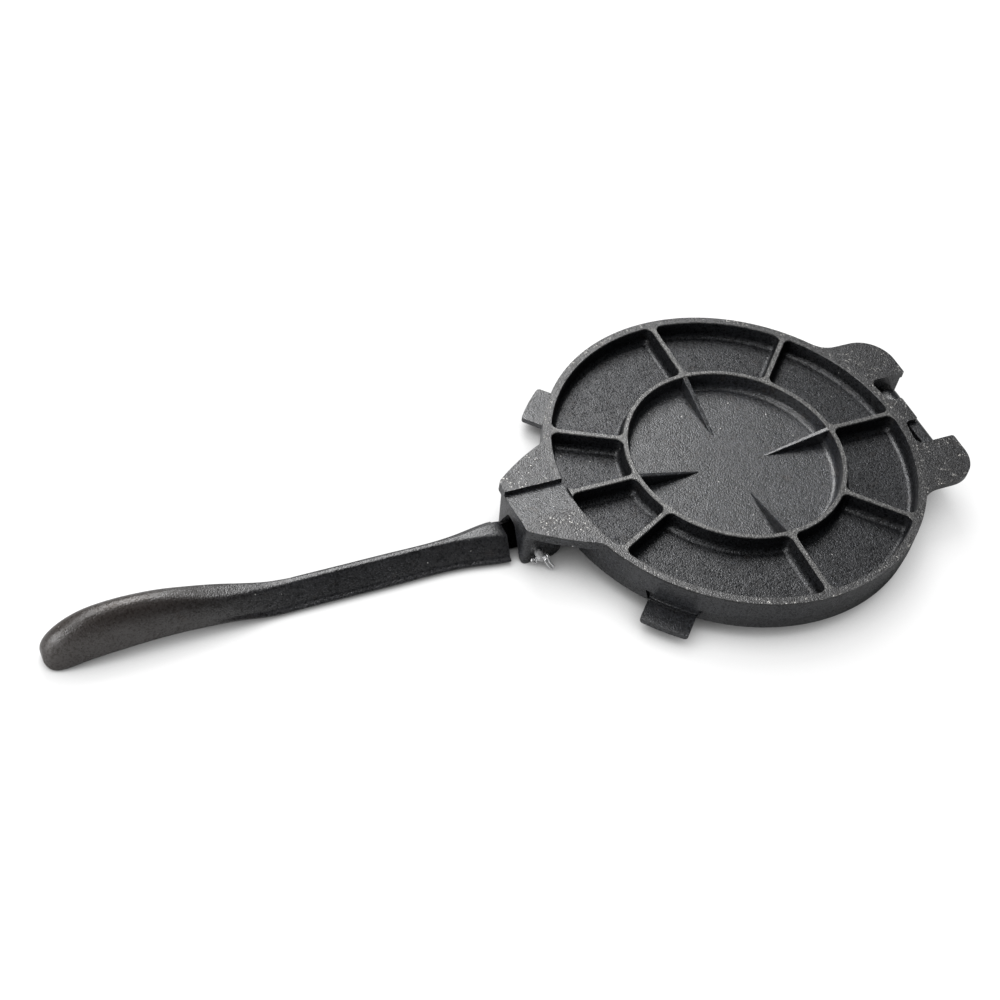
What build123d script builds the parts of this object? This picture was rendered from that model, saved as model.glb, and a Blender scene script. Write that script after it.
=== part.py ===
"""Hand-operated tortilla press in cast iron, lying closed on its lid with the handle swung out.

X runs from the handle to the lid hinge, Z is up, and the origin is on the floor under the disc
axis. The base is the upper plate here, with its ribbed underside facing up. Lengths are in mm.
"""
import os
from math import cos, radians, sin, sqrt

from build123d import *

# Plates
DISC_R = 105.0  # both plates
BOSS_H = 10.0  # lid boss the lever presses on
LID_T = 7.0
RIM_H = 13.0  # base rim
RIM_T = 4.5
FLOOR_T = 3.0  # base plate between the ribs

# Ribs of the base
RING_R = 61.7
RING_T = 2.8
RIB_T = 3.0
OUTER_RIBS = (0, 45, 90, 154.3, 180, 205.7, 270, 315)
INNER_RIBS = (0, 90, 180, 270)
INNER_RIB_END = 21.0
INNER_RIB_TIP = 1.6  # width of an inner rib at its low end
POCKET_DRAFT = 3.0
POCKET_CORNER = 4.0
POCKET_FILLET = 3.0
EDGE_BREAK = 0.4  # softened top edges

# Tongue and the fork that holds the handle
TONGUE_T = 5.4
TONGUE_REACH = 28.0  # beyond the disc edge
TONGUE_HALF = 17.6  # at its front end
TONGUE_ROOT = 37.0  # half width where it leaves the rim
TONGUE_BOW = 1.4
TONGUE_CORNER = 3.5
TONGUE_FLARE = 6.0
GROOVE_T = 2.9  # along its +Y side
GROOVE_NEAR = 0.4  # along its -Y side
GROOVE_HALF = 10.0
FORK_HALF = 17.8
FORK_DRAFT = 4.0
FORK_CORNER = 5.0
FORK_RECESS = 2.5  # from the block side to the recessed cheek
FORK_POST = 6.0
TOE_R = 3.0
SLOT_GAP = 6.2  # above the handle hub
SLOT_SIDE = 1.6  # beside the handle hub
PIVOT_REACH = 16.5  # beyond the disc edge
PIVOT_Z = 6.5
HANDLE_PIN_R = 2.5

# Lobes and hinge at the rear
LOBE_T = 3.5
LOBE_IN = 25.5
LOBE_OUT = 56.0
LOBE_REACH = 21.5
LOBE_CORNER = 19.0
LOBE_FLARE = 15.0
LUG_HALF = 8.5
LUG_REACH = 8.5
SLOT_CORNER = 4.0
CHEEK_T = 6.5
CHEEK_R = 7.7
HINGE_REACH = 11.3  # beyond the disc edge
HINGE_PIN_R = 3.0
BARREL_R = 8.0
BARREL_GAP = 1.0  # between the barrel end and each cheek

# Lid
LID_DRAFT = 5.0
TAB_ANGLES = (135, -135)
TAB_HALF = 13.0
TAB_T = 3.0
TAB_REACH = 12.5
TAB_CORNER = 2.0
ROUGH_DEPTH = 2.4  # unmachined recess above each tab
ROUGH_FLARE = 3.0  # how much wider the recess is at the parting line, each side
ROUGH_ROOT = 1.8
BOSS_R = 25.0
BOSS_FILLET = 4.0

# Handle
HUB_R = 6.8
HUB_HALF = 5.0
NECK = 14.5  # from the pivot to the end face of the handle block
NECK_TOP = 3.5  # above the pivot, where it meets the block

# Fits
RUN_FIT = 0.05  # radial, pin in a turning bore
HEAD_GAP = 0.3
HEAD_RIM = 1.2  # pin head radius beyond the shank
COTTER_R = 1.0
LEG_R = 0.68
EYE_L = 6.0  # eye of a split pin, along its flattened loop
EYE_W = 2.8
EYE_GAP = 0.4
EYE_LEAN = 0.5  # how far the eye stands towards the end of the cross pin
EYE_TURN = 17.0  # of the flattened loop away from square to the split pin
COTTER_FIT = 0.1

LID_Z = BOSS_H
PART_Z = LID_Z + LID_T
FLOOR_Z = PART_Z + FLOOR_T
TOP_Z = PART_Z + RIM_H
FORK_FRONT = DISC_R + TONGUE_REACH
PIVOT_X = -(DISC_R + PIVOT_REACH)
SLOT_TOP = PIVOT_Z + HUB_R + SLOT_GAP
SLOT_HALF = HUB_HALF + SLOT_SIDE
HINGE_X = DISC_R + HINGE_REACH
HINGE_Z = LID_Z + LID_T / 2
CHEEK_Y = FORK_HALF - FORK_RECESS
BARREL_HALF = LOBE_IN - BARREL_GAP

# Handle outline: distance from the pivot, underside, its half width, top, its half width,
# and how far the section has changed from a wedge (0) to a rounded grip (1).
HANDLE = (
    (NECK, 1.5, 14.0, 13.3, 5.2, 0.0),
    (23.5, 1.5, 13.2, 14.9, 4.2, 0.0),
    (33.5, 1.5, 11.6, 14.8, 2.7, 0.0),
    (43.5, 1.5, 10.5, 14.6, 1.6, 0.0),
    (71.5, 1.5, 10.2, 14.6, 1.3, 0.0),
    (101.5, 1.5, 10.2, 14.6, 1.3, 0.0),
    (127.5, 1.5, 10.2, 14.7, 1.5, 0.0),
    (143.5, 2.0, 10.3, 15.6, 2.4, 0.05),
    (153.5, 4.2, 10.5, 17.4, 3.4, 0.15),
    (163.5, 6.2, 10.6, 19.6, 4.9, 0.3),
    (173.5, 7.3, 10.7, 22.2, 6.2, 0.5),
    (183.5, 8.2, 10.8, 25.2, 6.5, 0.7),
    (193.5, 8.6, 10.9, 28.0, 6.5, 0.85),
    (203.5, 8.5, 11.0, 29.8, 6.5, 1.0),
    (213.5, 7.8, 11.0, 30.5, 6.5, 1.0),
    (223.5, 6.8, 10.9, 30.2, 6.5, 1.0),
    (233.5, 5.2, 10.6, 28.6, 6.5, 1.0),
    (241.5, 2.8, 10.0, 25.4, 6.0, 1.0),
    (247.5, 0.9, 9.1, 21.4, 5.0, 1.0),
    (251.5, 0.7, 7.8, 17.5, 4.0, 1.0),
    (253.9, 2.0, 6.0, 14.0, 3.0, 1.0),
    (255.1, 4.2, 3.8, 10.6, 1.8, 1.0),
)


def side_plate(profile, y0, y1):
    """Solid between two Y positions from a closed profile drawn in X and Z."""
    return extrude(Plane.XZ.offset(-max(y0, y1)) * profile, abs(y1 - y0))


def cross_rod(x, z, radius, y0, y1):
    """Round rod along Y."""
    return Pos(x, (y0 + y1) / 2, z) * Rot(X=90) * Cylinder(radius, abs(y1 - y0))


def rooted(outline, radii):
    """Plan of the disc and an outline, filleted where the outline leaves the rim.

    radii pairs the distance of a corner from the X axis with its fillet radius.
    """
    plan = Circle(DISC_R) + outline
    for reach, radius in radii:
        corners = [v for v in plan.vertices()
                   if abs(abs(v.Y) - reach) < 0.01 and abs(sqrt(v.X**2 + v.Y**2) - DISC_R) < 0.01]
        plan = fillet(corners, radius)
    return plan


def tongue_outline():
    """Plan of the tongue: it narrows from the rim to a blunt front with slightly bowed sides."""
    front = Vector(-FORK_FRONT, TONGUE_HALF)
    root = Vector(-sqrt(DISC_R**2 - TONGUE_ROOT**2), TONGUE_ROOT)
    along = (root - front).normalized()
    middle = (front + root) / 2 + Vector(-along.Y, along.X) * TONGUE_BOW
    side = ThreePointArc(front, middle, root)
    inner = Line(root, (-DISC_R / 2, TONGUE_ROOT))
    half = [side, inner]
    ends = [Line(front, (front.X, -front.Y)), Line(inner @ 1, (-DISC_R / 2, -TONGUE_ROOT))]
    face = make_face(half + [mirror(edge, Plane.XZ) for edge in half] + ends)
    return fillet(face.vertices().group_by(Axis.X)[0], TONGUE_CORNER)


def pockets():
    """Everything cast away between the ribs of the base."""
    depth = TOP_Z - FLOOR_Z
    plan = Circle(DISC_R - RIM_T) - Circle(RING_R)
    for angle in OUTER_RIBS:
        plan -= Rot(Z=angle) * Pos(DISC_R / 2, 0) * Rectangle(DISC_R, RIB_T)
    plans = [face.fillet_2d(POCKET_CORNER, face.vertices()) for face in plan.faces()]
    plans.append(Circle(RING_R - RING_T).face())
    solids = []
    for plan in plans:
        cut = extrude(Pos(0, 0, TOP_Z) * plan, depth, dir=(0, 0, -1), taper=POCKET_DRAFT)
        cut = fillet(cut.faces().sort_by(Axis.Z)[0].edges(), POCKET_FILLET)
        rim = Pos(0, 0, TOP_Z) * offset(plan, EDGE_BREAK)
        solids.append(cut + extrude(rim, EDGE_BREAK * 1.5, dir=(0, 0, -1), taper=45))
    return solids


def inner_ribs():
    """Ribs that fall and narrow from the ring towards the middle of the base."""
    outer = RING_R - RING_T / 2
    profile = make_face(Polyline((INNER_RIB_END, FLOOR_Z), (outer, TOP_Z), (outer, FLOOR_Z - 1),
                                 (INNER_RIB_END, FLOOR_Z - 1), close=True))
    plan = make_face(Polyline((INNER_RIB_END, INNER_RIB_TIP / 2), (outer, RIB_T / 2),
                              (outer, -RIB_T / 2), (INNER_RIB_END, -INNER_RIB_TIP / 2), close=True))
    rib = side_plate(profile, -RIB_T, RIB_T) & extrude(Pos(0, 0, PART_Z) * plan, RIM_H)
    rib = chamfer(rib.edges().filter_by(Axis.Y, reverse=True).group_by(Axis.Z)[-1], EDGE_BREAK)
    return [Rot(Z=angle) * rib for angle in INNER_RIBS]


def fork():
    """Tongue end with the two ears that carry the handle pin."""
    width = 2 * FORK_HALF
    plan = Pos(-FORK_FRONT / 2 - DISC_R / 2 + 5, 0) * Rectangle(TONGUE_REACH + 10, width)
    plan = fillet(plan.vertices().group_by(Axis.X)[0], FORK_CORNER)
    block = extrude(Pos(0, 0, TOP_Z) * plan, TOP_Z, dir=(0, 0, -1), taper=FORK_DRAFT)
    front = -FORK_FRONT + (TOP_Z - TOE_R) * sin(radians(FORK_DRAFT)) - 0.1
    outline = Polyline((front, TOE_R), (front - 10, TOE_R), (front - 10, TOP_Z), (-DISC_R, TOP_Z),
                       (-DISC_R, PART_Z + 2), (PIVOT_X + 15.3, PART_Z), (PIVOT_X + 13.2, PIVOT_Z + 3.0),
                       (PIVOT_X + 12.6, PIVOT_Z))
    heel = ThreePointArc((PIVOT_X + 12.6, PIVOT_Z), (PIVOT_X + 10.6, 1.9), (PIVOT_X + 6.5, 0))
    sole = Line((PIVOT_X + 6.5, 0), (front + TOE_R, 0))
    toe_arc = RadiusArc((front + TOE_R, 0), (front, TOE_R), TOE_R)
    profile = make_face([outline, heel, sole, toe_arc])
    ears = block & side_plate(profile, -width, width)
    slot = make_face([
        ThreePointArc((-SLOT_HALF + 2.1, SLOT_TOP - 1.3), (0, SLOT_TOP), (SLOT_HALF - 2.1, SLOT_TOP - 1.3)),
        Polyline((SLOT_HALF - 2.1, SLOT_TOP - 1.3), (SLOT_HALF, SLOT_TOP - 5.5),
                 (SLOT_HALF + 2.8, SLOT_TOP - 10.2), (SLOT_HALF + 6.4, 2.0), (SLOT_HALF + 7.6, -1.0),
                 (-SLOT_HALF - 7.6, -1.0), (-SLOT_HALF - 6.4, 2.0), (-SLOT_HALF - 2.8, SLOT_TOP - 10.2),
                 (-SLOT_HALF, SLOT_TOP - 5.5), (-SLOT_HALF + 2.1, SLOT_TOP - 1.3))])
    ears -= extrude(Plane.YZ.offset(-FORK_FRONT - 5) * slot, TONGUE_REACH + 5)
    for side in (1, -1):
        recess = Box(DISC_R, 10, TOP_Z - TONGUE_T, align=(Align.MIN, Align.MIN, Align.MIN))
        recess = fillet(recess.edges().filter_by(Axis.Z).group_by(Axis.X)[0], 1.5)
        recess = Pos(-FORK_FRONT + FORK_POST, CHEEK_Y, 0) * recess
        ears -= recess if side > 0 else mirror(recess, Plane.XZ)
    return ears


def base():
    """Upper plate in this pose: rim, ribs, tongue with fork, rear lobes and hinge cheeks."""
    body = Pos(0, 0, PART_Z) * Cylinder(DISC_R, RIM_H, align=(Align.CENTER, Align.CENTER, Align.MIN))

    tongue = rooted(tongue_outline(), [(TONGUE_ROOT, TONGUE_FLARE)])
    body += extrude(Pos(0, 0, TOP_Z - TONGUE_T) * tongue, TONGUE_T)
    body += fork()

    end = DISC_R + LOBE_REACH
    lobe = Pos(end / 2, (LOBE_IN + LOBE_OUT) / 2) * Rectangle(end, LOBE_OUT - LOBE_IN)
    lobe = fillet(lobe.vertices().group_by(Axis.X)[-1].sort_by(Axis.Y)[-1], LOBE_CORNER)
    lobe = fillet(lobe.vertices().sort_by(lambda v: (v.X - end)**2 + (v.Y - LOBE_IN)**2)[0], 1.5)
    lug_end = DISC_R + LUG_REACH
    lug = Pos(lug_end / 2, 0) * Rectangle(lug_end, 2 * LUG_HALF)
    lug = fillet(lug.vertices().group_by(Axis.X)[-1], 1.0)
    rear = rooted(lobe + mirror(lobe, Plane.XZ) + lug,
                  [(LOBE_OUT, LOBE_FLARE), (LOBE_IN, SLOT_CORNER), (LUG_HALF, SLOT_CORNER)])
    body += extrude(Pos(0, 0, TOP_Z - LOBE_T) * rear, LOBE_T)

    cheek_top, cheek_foot = TOP_Z - LOBE_T / 2, PART_Z + 0.4
    cheek = make_face(Polyline((DISC_R - 4, cheek_top), (HINGE_X + 8.1, cheek_top),
                               (HINGE_X + CHEEK_R, HINGE_Z), (HINGE_X - CHEEK_R, HINGE_Z),
                               (DISC_R + 1, cheek_foot), (DISC_R - 4, cheek_foot), close=True))
    cheek += Pos(HINGE_X, HINGE_Z) * Circle(CHEEK_R)
    for side in (1, -1):
        body += side_plate(cheek, side * LOBE_IN, side * (LOBE_IN + CHEEK_T))
    body += Pos(HINGE_X - 5.5, -LOBE_IN / 2 - 2, TOP_Z - LOBE_T - 1.25) * Box(5.2, LOBE_IN - 3, 3.5)

    for cut in pockets():
        body -= cut
    for rib in inner_ribs():
        body += rib
    groove = make_face(Polyline((-GROOVE_HALF, TOP_Z - GROOVE_NEAR), (GROOVE_HALF, TOP_Z - GROOVE_T),
                                (GROOVE_HALF, TOP_Z + 1), (-GROOVE_HALF, TOP_Z + 1), close=True))
    groove = extrude(Plane.YZ.offset(-FORK_FRONT - 5) * groove, TONGUE_REACH + 20)
    keep = Cylinder(DISC_R - RIM_T - EDGE_BREAK, 4 * TOP_Z)
    body -= groove - keep
    body -= cross_rod(PIVOT_X, PIVOT_Z, HANDLE_PIN_R + RUN_FIT, -DISC_R, DISC_R)
    body -= cross_rod(HINGE_X, HINGE_Z, HINGE_PIN_R + RUN_FIT, -DISC_R, DISC_R)
    return body


def tab_root():
    """Concave fillet between a tab and the rough recess above it."""
    wall = DISC_R - ROUGH_DEPTH
    inner, outer = (wall - 1, LID_Z), (wall + ROUGH_ROOT, LID_Z)
    bend = 1 - sqrt(0.5)
    middle = (wall + ROUGH_ROOT * bend, LID_Z + ROUGH_ROOT * bend)
    cove = make_face([
        ThreePointArc(outer, middle, (wall, LID_Z + ROUGH_ROOT)),
        Polyline((wall, LID_Z + ROUGH_ROOT), (wall - 1, LID_Z + ROUGH_ROOT), (wall - 1, LID_Z - 1),
                 (outer[0], LID_Z - 1), outer)])
    ring = revolve(Plane.XZ * cove, Axis.Z)
    return ring & Pos(DISC_R, 0, LID_Z) * Box(DISC_R, 2 * TAB_HALF, 4 * ROUGH_ROOT)


def lid():
    """Lower plate in this pose: disc, finger tabs, pressing boss and hinge barrel."""
    body = extrude(Pos(0, 0, PART_Z) * Circle(DISC_R), LID_T, dir=(0, 0, -1), taper=LID_DRAFT)
    for angle in TAB_ANGLES:
        strip = Pos(DISC_R, 0) * Rectangle(4 * TAB_REACH, 2 * TAB_HALF) & Circle(DISC_R + TAB_REACH)
        strip = fillet(strip.vertices(), TAB_CORNER)
        tab = extrude(Pos(0, 0, LID_Z - TAB_T) * strip, TAB_T + 0.8)
        above = Pos(DISC_R, 0, LID_Z + 1) * Box(2 * TAB_REACH + 4, DISC_R, 2)
        tab -= above - Cylinder(DISC_R - 1, 4 * LID_Z)
        top_half = TAB_HALF + ROUGH_FLARE
        window = make_face(Polyline((-TAB_HALF, LID_Z), (TAB_HALF, LID_Z), (top_half, PART_Z + 1),
                                    (-top_half, PART_Z + 1), close=True))
        rough = extrude(Plane.YZ.offset(DISC_R / 2) * window, DISC_R)
        rough -= Cylinder(DISC_R - ROUGH_DEPTH, 4 * PART_Z)
        body -= Rot(Z=angle) * rough
        body += Rot(Z=angle) * (tab + tab_root())
    body += Cylinder(BOSS_R, LID_Z + 1, align=(Align.CENTER, Align.CENTER, Align.MIN))
    root = body.edges().filter_by(GeomType.CIRCLE).filter_by(
        lambda e: abs(e.radius - BOSS_R) < 0.01 and abs(e.center().Z - LID_Z) < 0.01)
    body = fillet(root, BOSS_FILLET)
    arm = Box(HINGE_REACH + 12, 2 * BARREL_HALF, LID_T, align=(Align.MAX, Align.CENTER, Align.CENTER))
    barrel = cross_rod(HINGE_X, HINGE_Z, BARREL_R, -BARREL_HALF, BARREL_HALF)
    barrel = fillet(barrel.edges().filter_by(GeomType.CIRCLE), 2.0)
    body += Pos(HINGE_X, 0, HINGE_Z) * arm + barrel
    return body - cross_rod(HINGE_X, HINGE_Z, HINGE_PIN_R + RUN_FIT, -DISC_R, DISC_R)


def handle_section(reach, low, low_half, high, high_half, grip):
    """Closed outline of the handle at one distance from the pivot."""
    height = high - low
    corner = min(1.6, low_half / 3, height / 5)
    half = [(low_half * 0.5, 0), (low_half - corner, 0), (low_half - corner * 0.28, corner * 0.3),
            (low_half, corner * 1.05)]
    for u in (0.22, 0.36, 0.5, 0.64, 0.77, 0.88, 0.945):
        wedge = low_half + (high_half - low_half) * u
        dome = low_half * (1 - u**2.1) ** 0.5
        half.append((wedge * (1 - grip) + dome * grip, height * u))
    half.append((high_half * 0.84 * (1 - grip) + low_half * 0.15 * grip, height * 0.993))
    points = [(0, 0)] + half + [(0, height)] + [(-y, z) for y, z in reversed(half)]
    wire = Spline([Vector(PIVOT_X - reach, y, low + z) for y, z in points], periodic=True)
    return make_face(wire)


def handle():
    """Lever: hub between the ears, wedge-shaped bar and rounded grip."""
    bar = loft([handle_section(*row) for row in HANDLE])
    low, top = HANDLE[0][1], PIVOT_Z + NECK_TOP
    neck = make_face(Polyline((PIVOT_X, low), (PIVOT_X - NECK - 3, low), (PIVOT_X - NECK - 3, top),
                              (PIVOT_X - 2, PIVOT_Z + HUB_R - 0.4), (PIVOT_X, PIVOT_Z), close=True))
    hub = neck + Pos(PIVOT_X, PIVOT_Z) * Circle(HUB_R)
    hub -= Pos(PIVOT_X, low - HUB_R) * Rectangle(4 * HUB_R, 2 * HUB_R)
    body = bar + side_plate(hub, -HUB_HALF, HUB_HALF)
    return body - cross_rod(PIVOT_X, PIVOT_Z, HANDLE_PIN_R + RUN_FIT, -DISC_R, DISC_R)


def pin(x, z, radius, head_y, end_y, hole_y, hole_dir):
    """Cross pin with a flat head at +Y and a split pin hole near its other end."""
    shank = cross_rod(x, z, radius, head_y, end_y)
    shank = chamfer(shank.edges().filter_by(GeomType.CIRCLE).sort_by(Axis.Y)[0], 0.5)
    head = cross_rod(x, z, radius + HEAD_RIM, head_y, head_y + 2.2)
    head = chamfer(head.edges().filter_by(GeomType.CIRCLE).sort_by(Axis.Y)[-1], 0.5)
    hole = Plane(origin=(x, hole_y, z), z_dir=hole_dir) * Cylinder(COTTER_R + COTTER_FIT, 6 * radius)
    return shank + head - hole


def split_pin(centre, direction, radius, legs):
    """Split pin through a cross pin: flattened eye on one side and two legs bent over on the other.

    legs holds the points that each leg passes, from the centre of the hole, in cross pin radii.
    """
    centre, direction = Vector(*centre), Vector(*direction).normalized()
    cross = Vector(0, 1, 0).cross(direction)
    along = cross * cos(radians(EYE_TURN)) + direction * sin(radians(EYE_TURN))
    start = centre - direction * (radius + EYE_W / 2 + EYE_GAP)
    eye_at = start + Vector(0, -EYE_LEAN, 0) + cross * (EYE_LEAN / 2)
    end = centre + direction * (radius + 0.3)
    body = Plane(origin=start, z_dir=direction) * Cylinder(
        COTTER_R, (end - start).length, align=(Align.CENTER, Align.CENTER, Align.MIN))
    body += Pos(*end) * Sphere(COTTER_R)
    eye = SlotOverall(EYE_L, EYE_W) - SlotOverall(EYE_L - EYE_W * 0.8, EYE_W * 0.2)
    eye = extrude(Plane(origin=eye_at, x_dir=along, z_dir=(0, 1, 0)) * eye, COTTER_R, both=True)
    body += fillet(eye.edges().group_by(Axis.Y)[0] + eye.edges().group_by(Axis.Y)[-1], 0.25)
    for points in legs:
        path = Spline([end] + [centre + Vector(*point) * radius for point in points])
        profile = Plane(origin=end, z_dir=path % 0) * Circle(LEG_R)
        body += sweep(profile, path=path)
        body += Pos(*(path @ 1)) * Sphere(LEG_R)
    return body


FORK_PIN_END = -(CHEEK_Y + 5.0)
FORK_PIN_HOLE = FORK_PIN_END + 2.0
CHEEK_OUT = LOBE_IN + CHEEK_T
HINGE_PIN_END = -(CHEEK_OUT + 6.0)
HINGE_PIN_HOLE = HINGE_PIN_END + 2.8
FORK_COTTER_DIR = (0.9, 0.0, 0.44)
HINGE_COTTER_DIR = (-0.3, 0.0, -0.95)
FORK_LEGS = (((1.24, -0.8, 0.4), (0.48, -1.24, -0.24), (1.6, -2.4, -1.84)),
             ((1.36, -0.72, 0.4), (1.2, -1.28, -0.2), (2.04, -2.52, -1.2)))
HINGE_LEGS = (((-0.7, -0.4, -1.6), (-1.5, -0.67, -1.93)), ((0.07, -0.4, -1.73), (0.73, -0.8, -2.33)))

NODES = {
    "base": base(),
    "lid": lid(),
    "handle": handle(),
    "handle_pin": pin(PIVOT_X, PIVOT_Z, HANDLE_PIN_R, CHEEK_Y + HEAD_GAP, FORK_PIN_END,
                      FORK_PIN_HOLE, FORK_COTTER_DIR),
    "handle_cotter": split_pin((PIVOT_X, FORK_PIN_HOLE, PIVOT_Z), FORK_COTTER_DIR, HANDLE_PIN_R, FORK_LEGS),
    "hinge_pin": pin(HINGE_X, HINGE_Z, HINGE_PIN_R, CHEEK_OUT + HEAD_GAP, HINGE_PIN_END,
                     HINGE_PIN_HOLE, HINGE_COTTER_DIR),
    "hinge_cotter": split_pin((HINGE_X, HINGE_PIN_HOLE, HINGE_Z), HINGE_COTTER_DIR, HINGE_PIN_R,
                              HINGE_LEGS),
}

os.makedirs("parts", exist_ok=True)
for name, solid in NODES.items():
    export_step(Part() + solid, f"parts/{name}.step")
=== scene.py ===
"""Cast iron tortilla press: finishes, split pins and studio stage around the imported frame."""
from math import cos, radians, sin
from types import SimpleNamespace

import bpy
from mathutils import Matrix, Vector


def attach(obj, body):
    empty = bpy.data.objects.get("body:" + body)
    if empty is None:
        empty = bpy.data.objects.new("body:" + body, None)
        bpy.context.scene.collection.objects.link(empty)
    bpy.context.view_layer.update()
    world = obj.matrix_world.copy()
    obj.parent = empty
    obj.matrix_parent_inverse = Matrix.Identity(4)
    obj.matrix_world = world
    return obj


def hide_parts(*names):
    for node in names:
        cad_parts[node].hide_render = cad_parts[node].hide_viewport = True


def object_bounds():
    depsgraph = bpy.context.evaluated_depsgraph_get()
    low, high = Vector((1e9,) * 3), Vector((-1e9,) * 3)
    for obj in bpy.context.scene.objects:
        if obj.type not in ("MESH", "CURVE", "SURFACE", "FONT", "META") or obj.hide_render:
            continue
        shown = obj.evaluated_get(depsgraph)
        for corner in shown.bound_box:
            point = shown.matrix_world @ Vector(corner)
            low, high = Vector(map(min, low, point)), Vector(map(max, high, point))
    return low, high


bl_info = {
    "name": "Tortilla Press",
    "version": (1, 0, 0),
    "blender": (4, 5, 0),
    "location": "View3D > Sidebar > Press",
    "description": "Finishes a cast iron tortilla press and sets it on a studio floor",
    "category": "Object",
}

MM = 0.001

# Where a finish, a painted shade or a painted sheen fades in and out on the castings, in mm in the
# part's frame:
# in from the first number to the second and, where there are four, out from the third to the
# fourth.
WORN_AND_SHEEN_TOPS = (29.3, 29.8)                    # height of the rim, ring and rib tops
WALL_RADII = (103.2, 103.9, 105.3, 105.6)   # ground outer wall of both plates
WALL_HEIGHTS = (10.3, 10.8, 29.1, 29.6)
LIP_HEIGHTS = (28.4, 28.8, 29.2, 29.5)      # dark line under the edge of the rim
POCKET_RADII = (60.5, 61.5, 100.0, 101.0)   # floor between the ring and the rim, painted darker as shade
RIM_TOP_RADII = (99.0, 101.0)               # top of the rim, with less wear and painted sheen than the ribs
RIM_EDGE_RADII = (104.6, 105.4)             # its outer edge
CHIPPED_RADII = (101.0, 103.0)
LID_HEIGHTS = (16.7, 17.1)                  # below this the outer wall is the lid's, painted darker as shade
TONGUE_START, TONGUE_FULL, TONGUE_HALF_WIDTH = -90.0, -92.0, 40.0
NECK_START = -136.1                         # x of the neck of the handle, painted dark as shade from here
GRIP_START, GRIP_HELD = -250.0, -340.0      # x over which the grip gets browner

# Widths of the lumps in the cast skin, and tints of its colours by channel.
SPECK, SWELL, BLOTCH, CLOUD = 3.4 * MM, 6 * MM, 7 * MM, 28 * MM
STREAK, STREAK_STRETCH = 1.1 * MM, (1.0, 1.0, 0.08)
WARM, RUST, HELD, BARE_AND_SHEEN = (1.06, 1.0, 0.95), (2.5, 1.6, 0.95), (2.3, 1.6, 1.05), (3.9, 3.5, 2.9)
STRAY_COLOR, EDGE_COLOR, CHIP_COLOR = (0.5, 0.49, 0.47), (0.15, 0.148, 0.143), (0.34, 0.33, 0.31)

# Split pins, in mm.
LEGS_WIDTH = 2.14          # over both legs where they pass through the cross pin
LEG_STOPS = (-0.95, -0.4, 0.3, 0.9)         # points along a leg in the hole, in cross pin radii
EYE_LENGTH, EYE_WIDTH = 6.0, 2.84
EYE_LEAN = radians(17)
EYE_REACH = 1.8            # from the cross pin's surface to the middle of the eye
EYE_SHIFT, EYE_DROP = 0.25, 0.5
EYE_TURNS = range(-62, 243, 16)             # degrees round the eye, from one leg to the other
SWEEP_STEP = 0.25 * MM
WIRE_SIDES = 14
SPLIT_PINS = {  # node: (centre, direction of the hole, cross pin radius, leg points in pin radii)
    "handle_cotter": ((-121.5, -18.3, 6.5), (0.9, 0.0, 0.44), 2.5,
                      (((1.24, -0.8, 0.4), (0.48, -1.24, -0.24), (1.6, -2.4, -1.84)),
                       ((1.36, -0.72, 0.4), (1.2, -1.28, -0.2), (2.04, -2.52, -1.2)))),
    "hinge_cotter": ((116.3, -35.2, 13.5), (-0.3, 0.0, -0.95), 3.0,
                     (((-0.7, -0.4, -1.6), (-1.5, -0.67, -1.93)),
                      ((0.07, -0.4, -1.73), (0.73, -0.8, -2.33)))),
}

# Stage, in metres and degrees.
FLOOR_EDGE = 6.0
NEAR_SHADE, CONTACT_SHADE = 70 * MM, 16 * MM
SKY = (0.86, 0.94, 1.0, 1.0)
WHITE = (1.0, 1.0, 1.0, 1.0)
LAMPS = {  # name: setting, (width, height), azimuth, elevation, distance
    "softbox": ("lamp_power", (1.0, 1.2), 83, 50, 1.9),
    "fill": ("fill_power", (1.3, 1.2), 160, 64, 1.7),
    "side": ("side_power", (0.7, 0.45), 190, 16, 1.2),
}
CAMERA_PLACE = (-0.4707, -0.5243, 0.7155)
CAMERA_YAW, CAMERA_PITCH, CAMERA_ROLL = 57.86, 47.6, -11.11
SENSOR, LENS, FARTHEST = 36.0, 65.09, 50.0

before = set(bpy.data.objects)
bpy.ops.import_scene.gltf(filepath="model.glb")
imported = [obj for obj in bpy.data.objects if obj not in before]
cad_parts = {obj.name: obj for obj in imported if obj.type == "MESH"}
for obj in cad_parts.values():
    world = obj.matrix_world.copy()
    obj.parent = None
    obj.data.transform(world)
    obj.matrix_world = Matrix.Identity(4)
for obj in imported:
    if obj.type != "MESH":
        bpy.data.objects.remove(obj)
cad_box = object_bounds()


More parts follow.
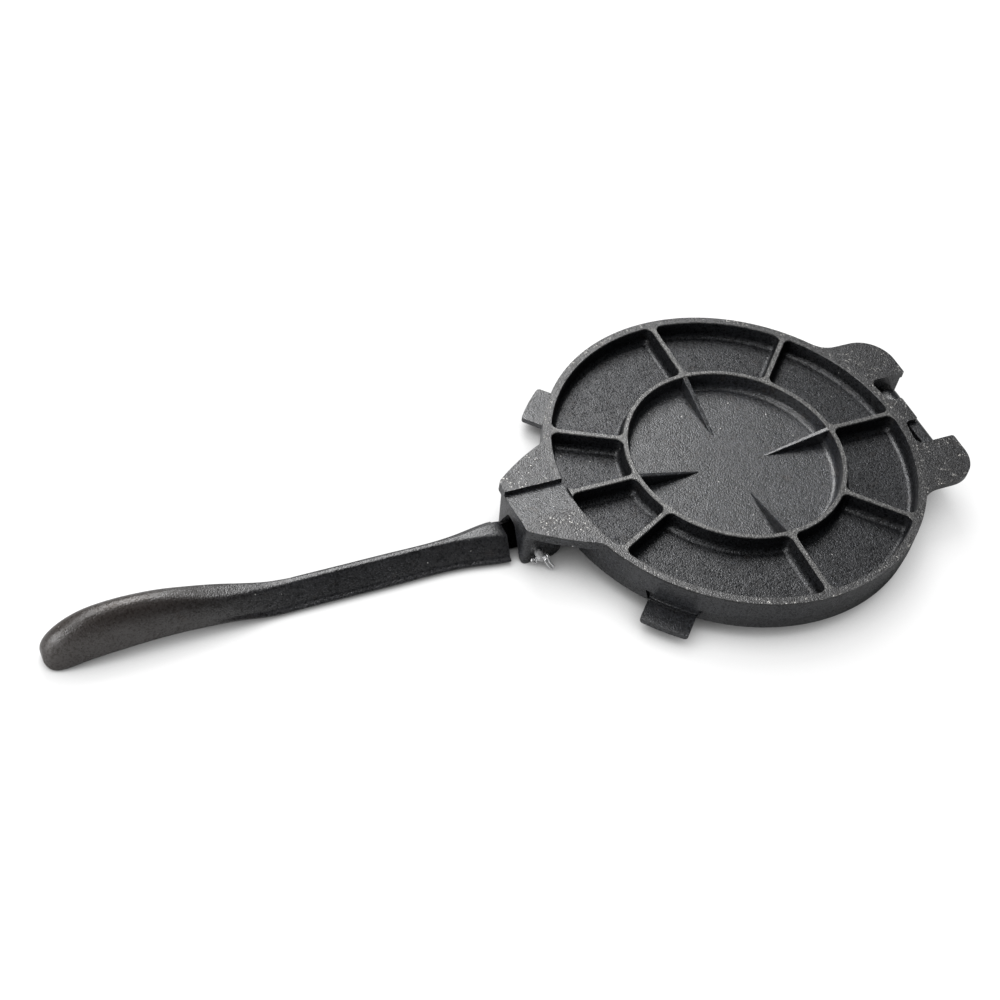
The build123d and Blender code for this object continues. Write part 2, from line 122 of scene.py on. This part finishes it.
class Settings(bpy.types.PropertyGroup):
    """Sizes and colours of the press that a user would change."""
    iron_color: bpy.props.FloatVectorProperty(
        name="Iron", description="Seasoned iron skin", subtype="COLOR",
        default=(0.0128, 0.0137, 0.0163))
    pebble: bpy.props.FloatProperty(
        name="Pebble size", description="Width of the sand-cast grain", subtype="DISTANCE",
        unit="LENGTH", default=0.8 * MM)
    pebble_depth: bpy.props.FloatProperty(
        name="Pebble depth", description="Height of the sand-cast grain", subtype="DISTANCE",
        unit="LENGTH", default=0.12 * MM)
    iron_roughness: bpy.props.FloatProperty(
        name="Iron roughness", description="Sheen of the cast skin", subtype="FACTOR",
        min=0.0, max=1.0, default=0.40)
    zinc_color: bpy.props.FloatVectorProperty(
        name="Zinc", description="Plating of the pins", subtype="COLOR",
        default=(0.96, 0.96, 0.97))
    wire: bpy.props.FloatProperty(
        name="Split pin wire", description="Diameter of one leg", subtype="DISTANCE",
        unit="LENGTH", default=1.24 * MM)
    lamp_power: bpy.props.FloatProperty(
        name="Softbox", description="Power of the large softbox", unit="POWER", default=36.0)
    fill_power: bpy.props.FloatProperty(
        name="Fill", description="Power of the lamp on the handle side", unit="POWER",
        default=17.0)
    side_power: bpy.props.FloatProperty(
        name="Side", description="Power of the low lamp beyond the grip", unit="POWER",
        default=6.5)
    ambient: bpy.props.FloatProperty(
        name="Ambient", description="Level of the surroundings", min=0.0, max=1.0, default=0.04)


class Sock:
    """A shader socket that adds Math nodes when it is used in an expression."""

    def __init__(self, tree, socket):
        self.tree, self.socket = tree, socket

    def _math(self, operation, *values):
        return self.tree.node("ShaderNodeMath", {"operation": operation},
                              dict(enumerate(values)))

    def __add__(self, other):
        return self._math("ADD", self, other)

    def __sub__(self, other):
        return self._math("SUBTRACT", self, other)

    def __mul__(self, other):
        return self._math("MULTIPLY", self, other)

    def __pow__(self, other):
        return self._math("POWER", self, other)

    def __rsub__(self, other):
        return self._math("SUBTRACT", other, self)

    __radd__ = __add__
    __rmul__ = __mul__

    def low(self, other):
        return self._math("MINIMUM", self, other)

    def high(self, other):
        return self._math("MAXIMUM", self, other)

    def size(self):
        return self._math("ABSOLUTE", self)

    def step(self, start, end):
        """Smooth step from 0 at start to 1 at end."""
        return self.tree.node("ShaderNodeMapRange", {"interpolation_type": "SMOOTHSTEP"},
                              {"Value": self, "From Min": start, "From Max": end})

    def rise(self, start, end):
        """Smooth step between two places in mm."""
        return self.step(start * MM, end * MM)

    def band(self, start, full, fading, gone):
        """1 between two smooth steps at places in mm, and 0 outside them."""
        return self.rise(start, full) * (1 - self.rise(fading, gone))


class Shade:
    """Builds the nodes of one material, or of the world."""

    def __init__(self, name, kind=bpy.types.Material):
        if kind is bpy.types.World:
            self.owner, self.output = bpy.data.worlds.new(name), "ShaderNodeOutputWorld"
        else:
            self.owner, self.output = bpy.data.materials.new(name), "ShaderNodeOutputMaterial"
        self.owner.use_nodes = True
        self.nodes = self.owner.node_tree.nodes
        self.links = self.owner.node_tree.links
        self.nodes.clear()

    def node(self, kind, settings=None, inputs=None, output=0):
        """Adds a node, applies its settings, then its values or links, and returns one output."""
        made = self.nodes.new(kind)
        for key, value in (settings or {}).items():
            setattr(made, key, value)
        for key, value in (inputs or {}).items():
            socket = made.inputs[key]
            if isinstance(value, Sock):
                self.links.new(value.socket, socket)
            else:
                socket.default_value = value
        return Sock(self, made.outputs[output])

    def place(self):
        """Object coordinates, and their three parts."""
        coords = self.node("ShaderNodeTexCoord", output="Object")
        split = self.node("ShaderNodeSeparateXYZ", inputs={"Vector": coords})
        parts = [Sock(self, split.socket.node.outputs[i]) for i in range(3)]
        return coords, parts

    def noise(self, coords, width, detail=2.0, rough=0.5):
        """Noise whose lumps are about one width across."""
        return self.node("ShaderNodeTexNoise", {"normalize": True},
                         {"Vector": coords, "Scale": 1 / width,
                          "Detail": detail, "Roughness": rough})

    def grains(self, coords, width):
        """Packed cells about one width across: distance from the centre, and two random values."""
        cell = self.node("ShaderNodeTexVoronoi", {"feature": "F1"},
                         {"Vector": coords, "Scale": 1 / width})
        hue = self.node("ShaderNodeSeparateXYZ",
                        inputs={"Vector": Sock(self, cell.socket.node.outputs["Color"])})
        return cell, hue, Sock(self, hue.socket.node.outputs[1])

    def mix(self, factor, a, b):
        """Blend of two colours."""
        values = {0: factor, 6: a if isinstance(a, Sock) else (*a, 1.0),
                  7: b if isinstance(b, Sock) else (*b, 1.0)}
        return self.node("ShaderNodeMix", {"data_type": "RGBA"}, values, output=2)

    def bump(self, height, distance, strength=1.0):
        """Normal of a surface with this height, which is distance at 1."""
        return self.node("ShaderNodeBump", inputs={"Height": height, "Distance": distance,
                                                   "Strength": strength})

    def seen(self):
        """1 for what the camera sees, straight or through glass, and 0 for other rays."""
        rays = self.node("ShaderNodeLightPath")
        through = Sock(self, rays.socket.node.outputs["Is Transmission Ray"])
        return Sock(self, rays.socket.node.outputs["Is Camera Ray"]).high(through)

    def principled(self, **inputs):
        """Closes the material with a Principled shader."""
        values = {key.replace("_", " "): value for key, value in inputs.items()}
        return self.finish(self.node("ShaderNodeBsdfPrincipled", inputs=values))

    def finish(self, shader):
        """Links the last shader to the output, and returns the material or world."""
        out = self.nodes.new(self.output)
        self.links.new(shader.socket, out.inputs["Surface"])
        return self.owner


def scaled(color, factor):
    """A colour made lighter or darker."""
    return tinted(color, (factor, factor, factor))


def tinted(color, tint):
    """A colour with each channel made lighter or darker."""
    return tuple(min(1.0, c * t) for c, t in zip(color, tint))


def iron(name, tint=(1.0, 1.0, 1.0), marks=None, glint_share=0.5):
    """Seasoned sand-cast iron: packed grains, some painted bright as glints, duller hollows, and
    high spots bare from wear and painted lighter as sheen.
    """
    opts = bpy.context.scene.press
    color = tinted(opts.iron_color, tint)
    shade = Shade(name)
    coords, (x, y, z) = shade.place()
    far, luck, pick = shade.grains(coords, opts.pebble)
    speck, odds, _ = shade.grains(coords, SPECK)
    fine = shade.noise(coords, opts.pebble * 0.8, detail=2.0, rough=0.6)
    swell = shade.noise(coords, SWELL, detail=2.0)
    cloud = shade.noise(coords, CLOUD, detail=3.0, rough=0.55)
    blotch = shade.noise(coords, BLOTCH, detail=2.5)

    dome = 1 - far * 1.4
    # Painted glints: random grains made ten times lighter in colour, standing in for light
    # sparkling on the cast grain.
    bright = luck.step(0.6, 1.0) * dome.step(0.1, 0.7)
    dark = pick.step(0.5, 0.95) * 0.8
    top = z.rise(*WORN_AND_SHEEN_TOPS)

    patina = shade.mix(cloud.step(0.35, 0.68), scaled(color, 0.8), scaled(color, 1.25))
    pitted = shade.mix(dark, patina, scaled(color, 0.25))
    skin = shade.mix(bright * glint_share, pitted, scaled(color, 10.0))
    brown = shade.mix(blotch.step(0.58, 0.8) * 0.45, skin, tinted(color, RUST))
    # High spots bare from wear, partly a painted sheen: the tops are made lighter in colour.
    rubbed_and_sheen = shade.mix(top * (0.2 + fine.step(0.4, 0.62) * 0.4), brown, tinted(color, BARE_AND_SHEEN))
    stray = odds.step(0.94, 0.96) * (1 - (speck + fine * 0.2).step(0.17, 0.24))
    look = SimpleNamespace(
        color=shade.mix(stray, rubbed_and_sheen, STRAY_COLOR),
        rough=(opts.iron_roughness + (cloud - 0.5) * 0.14 + (blotch - 0.5) * 0.12
               - bright * 0.16),
        height=dome * (0.35 + luck * 0.65) + fine * 0.6 + swell * 1.5,
        metal=0.02 + top * 0.24 + (blotch - 0.5) * 0.3 + dark * 0.45)
    if marks:
        marks(shade, color, look, SimpleNamespace(
            coords=coords, x=x, y=y, z=z, top=top, luck=luck, blotch=blotch))
    return shade.principled(
        Base_Color=look.color, Roughness=look.rough.high(0.25).low(0.85),
        Normal=shade.bump(look.height, opts.pebble_depth),
        Metallic=look.metal.high(0.0).low(1.0), Specular_IOR_Level=1.0)


def lever_marks(shade, color, look, skin):
    """Painted shade on the neck of the handle inside the fork, and the browner grip that is held.
    """
    # Painted shade: the neck inside the fork is made near black, rough and less reflective.
    neck = (skin.x - NECK_START * MM).rise(0.0, 0.5)
    look.color = shade.mix(neck, look.color, scaled(color, 0.05))
    look.rough = look.rough + neck * 0.4
    look.metal = look.metal + neck
    held = (GRIP_START * MM - skin.x).rise(0.0, GRIP_START - GRIP_HELD)
    look.color = shade.mix(held * 0.6, look.color, tinted(color, HELD))


def plate_marks(shade, color, look, skin):
    """The ground outer wall, the chipped tops with wear and painted sheen, and painted shade on the
    pocket floors and the lid's band of the wall of a plate.
    """
    x, y, z = skin.x, skin.y, skin.z
    radius = (x * x + y * y) ** 0.5
    rim = radius.band(*WALL_RADII)
    wall = rim * z.band(*WALL_HEIGHTS)
    tongue = (x - TONGUE_START * MM).rise(0.0, TONGUE_FULL - TONGUE_START)
    wall = wall * (1 - tongue * (1 - (y.size() - TONGUE_HALF_WIDTH * MM).rise(0.0, 2.0)))
    upright = shade.node("ShaderNodeVectorMath", {"operation": "MULTIPLY"},
                         {0: skin.coords, 1: STREAK_STRETCH})
    streaks = shade.noise(upright, STREAK, detail=2.0)
    look.height = look.height * (1 - wall * 0.8) + streaks * wall * 0.12
    look.rough = look.rough - wall * 0.06
    smooth = shade.mix(streaks.step(0.3, 0.7), scaled(color, 0.75), scaled(color, 1.5))
    look.color = shade.mix(wall * 0.8, look.color, smooth)

    lip = rim * z.band(*LIP_HEIGHTS) * skin.blotch.step(0.42, 0.5)
    look.color = shade.mix(lip * 0.9, look.color, scaled(color, 0.1))
    # Tops inside the rim's outer edge made lighter: partly wear, partly painted sheen, less on the
    # rim's own top.
    edge_wear_and_sheen = skin.top * (1 - radius.rise(*RIM_EDGE_RADII))
    edge_wear_and_sheen = edge_wear_and_sheen * (1 - radius.rise(*RIM_TOP_RADII) * 0.75)
    look.color = shade.mix(edge_wear_and_sheen * (0.25 + skin.luck.step(0.3, 0.9) * 0.6), look.color,
                           EDGE_COLOR)
    chipped = (skin.top * radius.rise(*CHIPPED_RADII) * skin.luck.step(0.82, 0.97)
               * skin.blotch.step(0.45, 0.62))
    look.color = shade.mix(chipped * 0.8, look.color, CHIP_COLOR)

    # Painted shade: the pocket floors between the ring and the rim are made darker and less
    # reflective.
    pocket = radius.band(*POCKET_RADII) * (1 - skin.top)
    look.color = shade.mix(pocket * 0.45, look.color, scaled(color, 0.35))
    look.metal = look.metal + pocket * 0.4
    # Painted shade: the lid's band at the foot of the outer wall is made darker.
    lid_band_shade = rim * (1 - z.rise(*LID_HEIGHTS))
    look.color = shade.mix(lid_band_shade * 0.55, look.color, scaled(color, 0.4))


def zinc(name):
    """Bright zinc plating with fine drawing lines and a dull cast."""
    opts = bpy.context.scene.press
    shade = Shade(name)
    coords, _ = shade.place()
    cloud = shade.noise(coords, 2.4 * MM, detail=3.0)
    lines = shade.noise(coords, 0.25 * MM, detail=2.0)
    tone = shade.mix(cloud.step(0.35, 0.7), scaled(opts.zinc_color, 0.85), opts.zinc_color)
    rough = 0.22 + (cloud - 0.5) * 0.2
    return shade.principled(Base_Color=tone, Metallic=0.6, Roughness=rough.high(0.15),
                            Normal=shade.bump(lines, 0.02 * MM, 0.4))


def paint(name, material):
    """Gives a CAD node one material."""
    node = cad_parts[name]
    node.data.materials.clear()
    node.data.materials.append(material)


def add_object(name, data):
    """Makes an object and links it to the scene."""
    obj = bpy.data.objects.new(name, data)
    bpy.context.scene.collection.objects.link(obj)
    return obj


class PRESS_OT_base(bpy.types.Operator):
    """Finish the ribbed base casting"""
    bl_idname = "press.base"
    bl_label = "Base"

    def execute(self, context):
        paint("base", iron("iron_base", marks=plate_marks))
        return {"FINISHED"}


class PRESS_OT_lid(bpy.types.Operator):
    """Finish the lid casting"""
    bl_idname = "press.lid"
    bl_label = "Lid"

    def execute(self, context):
        paint("lid", iron("iron_lid", marks=plate_marks, glint_share=0.35))
        return {"FINISHED"}


class PRESS_OT_handle(bpy.types.Operator):
    """Finish the lever handle casting"""
    bl_idname = "press.handle"
    bl_label = "Handle"

    def execute(self, context):
        paint("handle", iron("iron_handle", tint=WARM, marks=lever_marks, glint_share=0.35))
        return {"FINISHED"}


class PRESS_OT_pins(bpy.types.Operator):
    """Finish the cross pins"""
    bl_idname = "press.pins"
    bl_label = "Pins"

    def execute(self, context):
        for name in ("handle_pin", "hinge_pin"):
            paint(name, zinc("zinc_" + name))
        return {"FINISHED"}


def wire_tree(material):
    """Geometry Nodes that sweep a round wire along a path of mesh edges."""
    tree = bpy.data.node_groups.new("wire_along_path", "GeometryNodeTree")
    tree.interface.new_socket("Path", in_out="INPUT", socket_type="NodeSocketGeometry")
    sizes = {}
    for name in ("Wire radius", "Step"):
        socket = tree.interface.new_socket(name, in_out="INPUT", socket_type="NodeSocketFloat")
        socket.subtype = "DISTANCE"
        sizes[name] = socket.identifier
    tree.interface.new_socket("Wire", in_out="OUTPUT", socket_type="NodeSocketGeometry")
    source, target = tree.nodes.new("NodeGroupInput"), tree.nodes.new("NodeGroupOutput")

    def add(kind, links, **settings):
        """Adds a node with its settings and its values or links, and returns its first output."""
        made = tree.nodes.new(kind)
        for key, value in settings.items():
            setattr(made, key, value)
        for key, value in links.items():
            if isinstance(value, bpy.types.NodeSocket):
                tree.links.new(value, made.inputs[key])
            else:
                made.inputs[key].default_value = value
        return made.outputs[0]

    line = add("GeometryNodeMeshToCurve", {"Mesh": source.outputs["Path"]})
    line = add("GeometryNodeCurveSplineType", {"Curve": line}, spline_type="CATMULL_ROM")
    line = add("GeometryNodeResampleCurve", {"Curve": line, "Length": source.outputs["Step"]},
               mode="LENGTH")
    ring = add("GeometryNodeCurvePrimitiveCircle",
               {"Resolution": WIRE_SIDES, "Radius": source.outputs["Wire radius"]})
    wire = add("GeometryNodeCurveToMesh",
               {"Curve": line, "Profile Curve": ring, "Fill Caps": True})
    wire = add("GeometryNodeSetShadeSmooth", {"Geometry": wire})
    wire = add("GeometryNodeRealizeInstances", {"Geometry": wire})
    wire = add("GeometryNodeSetMaterial", {"Geometry": wire, "Material": material})
    tree.links.new(wire, target.inputs["Wire"])
    return tree, sizes


def split_pin_path(centre, direction, radius, legs):
    """Points along the wire of a split pin, from one leg tip round the eye to the other leg tip."""
    pin_line = Vector((0, 1, 0))
    centre, direction = Vector(centre), Vector(direction).normalized()
    across = pin_line.cross(direction)
    wire = bpy.context.scene.press.wire / MM
    along = across * cos(EYE_LEAN) + direction * sin(EYE_LEAN)
    away = along.cross(pin_line)
    if away.dot(direction) > 0:
        away = -away
    eye = centre - direction * (radius + EYE_REACH) - pin_line * EYE_DROP + across * EYE_SHIFT
    half_length, half_width = EYE_LENGTH / 2 - wire / 2, EYE_WIDTH / 2 - wire / 2
    loop = [eye + along * half_length * cos(radians(t)) + away * half_width * sin(radians(t))
            for t in EYE_TURNS]
    ends = []
    for points, sign in zip(legs, (-1, 1)):
        shift = across * (LEGS_WIDTH / 2 - wire / 2) * sign
        run = [centre + shift + direction * radius * k for k in LEG_STOPS]
        ends.append(run + [centre + Vector(point) * radius for point in points])
    return [point * MM for point in ends[1][::-1] + loop + ends[0]]


class PRESS_OT_split_pins(bpy.types.Operator):
    """Bend a wire split pin through the end of each cross pin"""
    bl_idname = "press.split_pins"
    bl_label = "Split pins"

    def execute(self, context):
        material = zinc("zinc_wire")
        tree, sizes = wire_tree(material)
        for node, where in SPLIT_PINS.items():
            points = split_pin_path(*where)
            path = bpy.data.meshes.new(node + "_path")
            path.from_pydata(points, [(i, i + 1) for i in range(len(points) - 1)], [])
            maker = add_object(node + "_maker", path)
            sweep = maker.modifiers.new("wire", "NODES")
            sweep.node_group = tree
            sweep[sizes["Wire radius"]] = context.scene.press.wire / 2
            sweep[sizes["Step"]] = SWEEP_STEP
            ready = maker.evaluated_get(context.evaluated_depsgraph_get())
            mesh = bpy.data.meshes.new_from_object(ready)
            bpy.data.objects.remove(maker)
            split_pin = add_object(node.replace("cotter", "split_pin"), mesh)
            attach(split_pin, "base")
            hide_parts(node)
        return {"FINISHED"}


def camera_turn(yaw, pitch, roll):
    """Rotation of a camera that looks along yaw, down by pitch, turned by roll."""
    yaw, pitch, roll = radians(yaw), radians(pitch), radians(roll)
    ahead = Vector((cos(yaw) * cos(pitch), sin(yaw) * cos(pitch), -sin(pitch)))
    right = Vector((sin(yaw), -cos(yaw), 0.0))
    down = ahead.cross(right)
    across = cos(roll) * right + sin(roll) * down
    below = -sin(roll) * right + cos(roll) * down
    return Matrix((across, -below, -ahead)).transposed()


def softbox(name, power, size, azimuth, elevation, distance):
    """Rectangular lamp that faces the press from a compass direction and height."""
    lamp = bpy.data.lights.new(name, "AREA")
    lamp.shape, lamp.size, lamp.size_y, lamp.energy = "RECTANGLE", *size, power
    azimuth, elevation = radians(azimuth), radians(elevation)
    toward = Vector((cos(azimuth) * cos(elevation), sin(azimuth) * cos(elevation),
                     sin(elevation)))
    box = add_object(name, lamp)
    box.location = toward * distance
    box.rotation_euler = toward.to_track_quat("Z", "Y").to_euler()


def floor_material():
    """Matt grey to the light and the press, pale with a soft contact shadow to the camera."""
    shade = Shade("pale_floor")
    coords, _ = shade.place()
    tone = shade.mix(shade.noise(coords, 90 * MM).step(0.3, 0.7), (0.5, 0.5, 0.5),
                     (0.54, 0.54, 0.54))
    matt = shade.node("ShaderNodeBsdfDiffuse", inputs={"Color": tone})
    reach = shade.node("ShaderNodeAmbientOcclusion", {"samples": 16}, {"Distance": NEAR_SHADE},
                       output="AO")
    touch = shade.node("ShaderNodeAmbientOcclusion", {"samples": 8},
                       {"Distance": CONTACT_SHADE}, output="AO")
    # Painted contact shadow: the glow the camera sees on the floor is dimmed by ambient occlusion
    # near the press.
    glow = shade.node("ShaderNodeEmission", inputs={
        "Color": WHITE, "Strength": reach.step(0.0, 0.8) * (0.44 + touch * 0.3)})
    pale = shade.node("ShaderNodeBsdfDiffuse", inputs={"Color": (0.3, 0.3, 0.3, 1.0)})
    lit = shade.node("ShaderNodeAddShader", inputs={0: pale, 1: glow})
    return shade.finish(shade.node("ShaderNodeMixShader",
                                   inputs={0: shade.seen(), 1: matt, 2: lit}))


def studio_world(ambient):
    """Dim surroundings that the camera sees as white."""
    shade = Shade("studio", bpy.types.World)
    dim = shade.node("ShaderNodeBackground", inputs={"Color": SKY, "Strength": ambient})
    white = shade.node("ShaderNodeBackground", inputs={"Color": WHITE, "Strength": 1.0})
    return shade.finish(shade.node("ShaderNodeMixShader",
                                   inputs={0: shade.seen(), 1: dim, 2: white}))


class PRESS_OT_stage(bpy.types.Operator):
    """Add the pale floor, the soft light and the camera"""
    bl_idname = "press.stage"
    bl_label = "Stage"

    def execute(self, context):
        scene = context.scene
        scene.view_settings.view_transform = "Standard"

        low = cad_box[0][2]
        mesh = bpy.data.meshes.new("floor")
        corners = [(x * FLOOR_EDGE, y * FLOOR_EDGE, low)
                   for x, y in ((-1, -1), (1, -1), (1, 1), (-1, 1))]
        mesh.from_pydata(corners, [], [(0, 1, 2, 3)])
        mesh.materials.append(floor_material())
        add_object("floor", mesh)
        scene.world = studio_world(scene.press.ambient)

        for name, (setting, *where) in LAMPS.items():
            softbox(name, getattr(scene.press, setting), *where)

        lens = bpy.data.cameras.new("camera")
        lens.sensor_width, lens.lens, lens.clip_end = SENSOR, LENS, FARTHEST
        eye = add_object("camera", lens)
        turn = camera_turn(CAMERA_YAW, CAMERA_PITCH, CAMERA_ROLL)
        eye.matrix_world = Matrix.Translation(CAMERA_PLACE) @ turn.to_4x4()
        scene.camera = eye
        return {"FINISHED"}


OPERATORS = (PRESS_OT_base, PRESS_OT_lid, PRESS_OT_handle, PRESS_OT_pins, PRESS_OT_split_pins,
             PRESS_OT_stage)


class PRESS_PT_panel(bpy.types.Panel):
    """Lists the pieces of the press"""
    bl_idname = "PRESS_PT_panel"
    bl_label = "Tortilla Press"
    bl_space_type = "VIEW_3D"
    bl_region_type = "UI"
    bl_category = "Press"

    def draw(self, context):
        for name in Settings.__annotations__:
            self.layout.prop(context.scene.press, name)
        for operator in OPERATORS:
            self.layout.operator(operator.bl_idname)


CLASSES = (Settings, *OPERATORS, PRESS_PT_panel)


def register():
    for item in CLASSES:
        bpy.utils.register_class(item)
    bpy.types.Scene.press = bpy.props.PointerProperty(type=Settings)


def unregister():
    del bpy.types.Scene.press
    for item in reversed(CLASSES):
        bpy.utils.unregister_class(item)


def main():
    """Runs every operator in order."""
    register()
    for operator in OPERATORS:
        group, name = operator.bl_idname.split(".")
        getattr(getattr(bpy.ops, group), name)()


if __name__ == "__main__":
    main()
